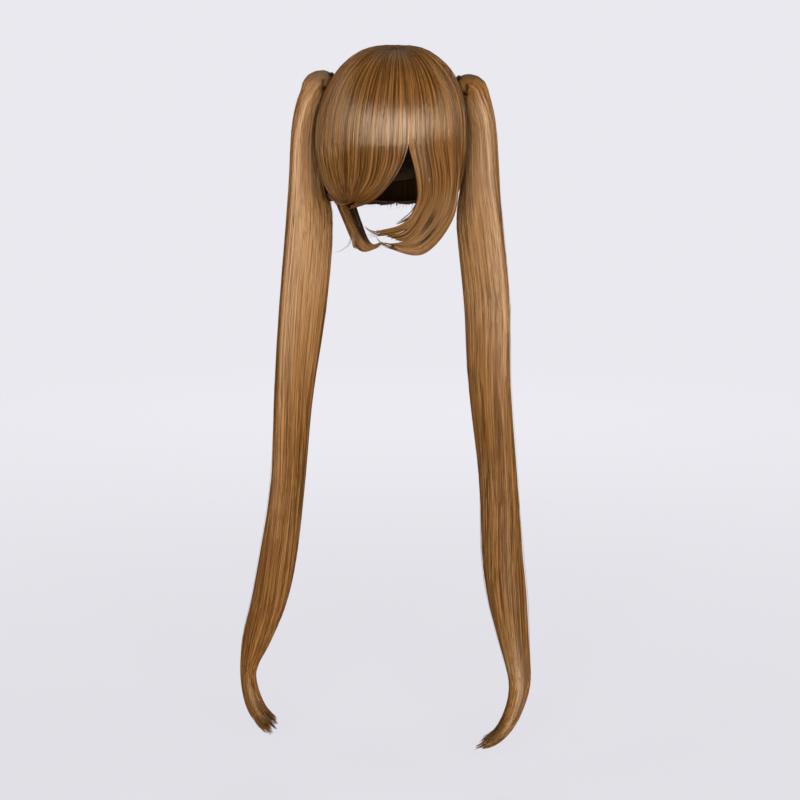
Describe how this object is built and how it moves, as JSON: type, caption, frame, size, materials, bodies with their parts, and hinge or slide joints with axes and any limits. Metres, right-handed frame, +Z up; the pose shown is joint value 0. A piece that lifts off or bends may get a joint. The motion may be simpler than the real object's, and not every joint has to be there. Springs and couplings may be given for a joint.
{
  "type": "pigtail wig",
  "caption": "Short straight-haired wig on an open net cap, with a swept fringe, curved face locks and a very long clip-on pigtail at each side.",
  "frame": {"origin": "inside of the crown of the cap, where it sits on the top of a head", "axes": "+Z up out of the crown, -Y out of the face, +X towards the right as seen from the front"},
  "size_m": [0.3508, 0.2099, 0.803],
  "materials": {
    "head_hair": "straight golden-brown synthetic hair with a soft satin gloss",
    "tail_hair": "straight light golden-brown synthetic hair with a soft satin gloss",
    "net": "open brown net with sewn rows of hair",
    "scalp": "thin skin-toned scalp patch, dull",
    "clip": "black moulded clip"
  },
  "bodies": {
    "root": {"cap_net": "net", "crown_patch": "scalp", "hair_back": "head_hair", "fringe": "head_hair", "cheek_lock_right": "head_hair", "jaw_lock_right": "head_hair", "jaw_lock_left": "head_hair", "clip_left": "clip", "clip_right": "clip", "pigtail_left": "tail_hair", "pigtail_right": "tail_hair"}
  },
  "joints": []
}
